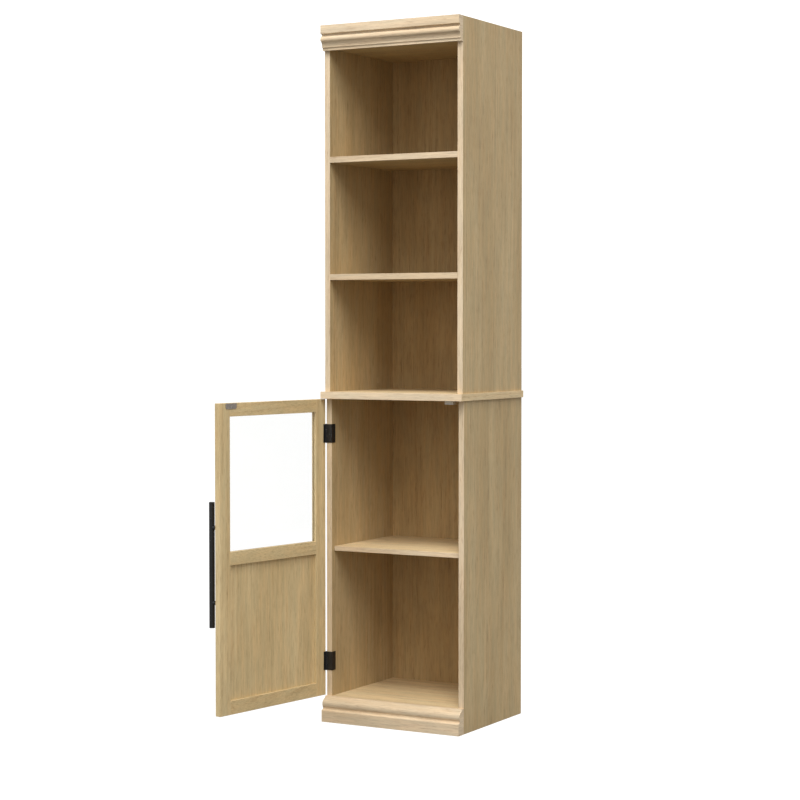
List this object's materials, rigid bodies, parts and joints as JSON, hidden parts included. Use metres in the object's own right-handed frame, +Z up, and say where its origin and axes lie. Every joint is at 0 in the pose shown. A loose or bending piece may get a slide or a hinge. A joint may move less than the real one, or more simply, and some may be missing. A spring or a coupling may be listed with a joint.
{
  "type": "pantry cabinet",
  "caption": "Tall narrow pantry cabinet in light oak woodgrain: open shelves above a counter board, and a lower cupboard with a hinged door, part glass, part wood panel, and a long bar handle.",
  "frame": {"origin": "on the floor and on the wall plane behind the cabinet, at the middle of its width", "axes": "+Z up; +X across, to the right when seen from the front; -Y towards the front, out of the wall"},
  "size_m": [0.516, 0.7212, 1.7856],
  "materials": {
    "oak_laminate": "light oak woodgrain laminate, satin",
    "back_laminate": "light oak woodgrain foil on thin board, matte",
    "beech_dowel": "bare beech",
    "black_metal": "satin black powder coat",
    "pin_steel": "black oxide",
    "zinc_steel": "zinc plated",
    "clear_glass": "clear float glass, polished",
    "catch_plastic": "moulded, matte",
    "ferrite": "pressed ferrite, matte"
  },
  "bodies": {
    "cabinet": {"upper_left_side": "oak_laminate", "upper_right_side": "oak_laminate", "upper_top_panel": "oak_laminate", "upper_shelf_high": "oak_laminate", "upper_shelf_low": "oak_laminate", "crown_moulding": "oak_laminate", "counter_top": "oak_laminate", "lower_left_side": "oak_laminate", "lower_right_side": "oak_laminate", "lower_bottom_panel": "oak_laminate", "lower_shelf": "oak_laminate", "base_moulding": "oak_laminate", "rear_base_rail": "oak_laminate", "cam_covers": "oak_laminate", "upper_back_panel": "back_laminate", "lower_back_panel": "back_laminate", "dowels": "beech_dowel", "upper_hinge_frame_leaf": "black_metal", "lower_hinge_frame_leaf": "black_metal", "hinge_frame_screws": "black_metal", "upper_hinge_pin": "pin_steel", "lower_hinge_pin": "pin_steel", "cam_bolts": "zinc_steel", "cam_nuts": "zinc_steel", "back_nails": "zinc_steel", "shelf_pins": "zinc_steel", "catch_poles": "zinc_steel", "catch_screws": "zinc_steel", "catch_case": "catch_plastic", "catch_magnet": "ferrite"},
    "door": {"door_hinge_stile": "oak_laminate", "door_latch_stile": "oak_laminate", "door_top_rail": "oak_laminate", "door_mid_rail": "oak_laminate", "door_bottom_rail": "oak_laminate", "door_glass": "clear_glass", "door_lower_panel": "oak_laminate", "handle_bar": "black_metal", "handle_posts": "black_metal", "handle_studs": "zinc_steel", "upper_hinge_door_leaf": "black_metal", "lower_hinge_door_leaf": "black_metal", "hinge_door_screws": "black_metal", "strike_plate": "zinc_steel", "strike_screw": "zinc_steel"}
  },
  "joints": [
    {"name": "door_hinge", "type": "hinge", "parent": "cabinet", "child": "door", "pos_m": [-0.2002, -0.3282, 0.449], "axis": [0, 0, 1], "range_deg": [-81, 99]}
  ]
}
